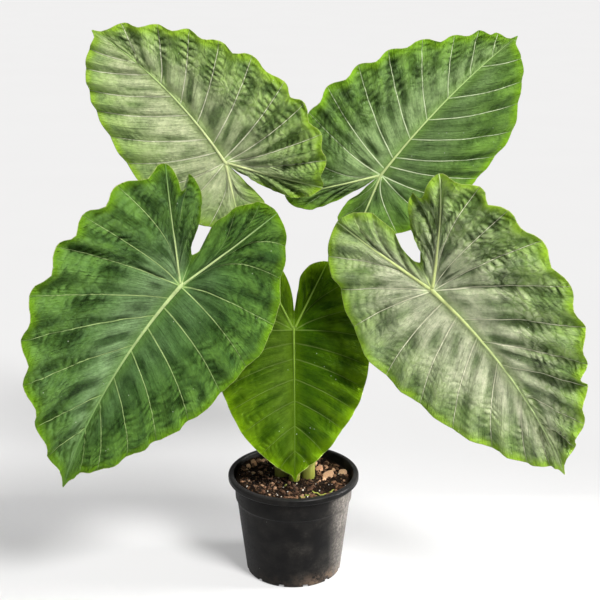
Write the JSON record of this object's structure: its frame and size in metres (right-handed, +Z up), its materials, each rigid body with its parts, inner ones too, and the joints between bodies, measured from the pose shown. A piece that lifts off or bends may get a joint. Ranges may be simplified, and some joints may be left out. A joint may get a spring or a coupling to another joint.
{
  "type": "potted giant taro plant",
  "caption": "Potted aroid house plant with large waved arrow-shaped leaves on arching stalks, standing in soil in a round tapered nursery pot.",
  "frame": {"origin": "centre of the pot's flat base", "axes": "+Z up the pot's axis; the plant's front faces -Y, where the small hanging leaf is"},
  "size_m": [0.7595, 0.4121, 0.8216],
  "materials": {
    "pot_plastic": "matt black moulded plastic, dusty",
    "potting_mix": "loose dark mix with bark and perlite",
    "stalk": "smooth fleshy green",
    "leaf": "satin green with pale veins"
  },
  "bodies": {
    "root": {"pot": "pot_plastic", "soil": "potting_mix", "stalk_left": "stalk", "stalk_right": "stalk", "stalk_back_left": "stalk", "stalk_back_right": "stalk", "stalk_front": "stalk", "blade_left": "leaf", "blade_right": "leaf", "blade_back_left": "leaf", "blade_back_right": "leaf", "blade_front": "leaf"}
  },
  "joints": []
}
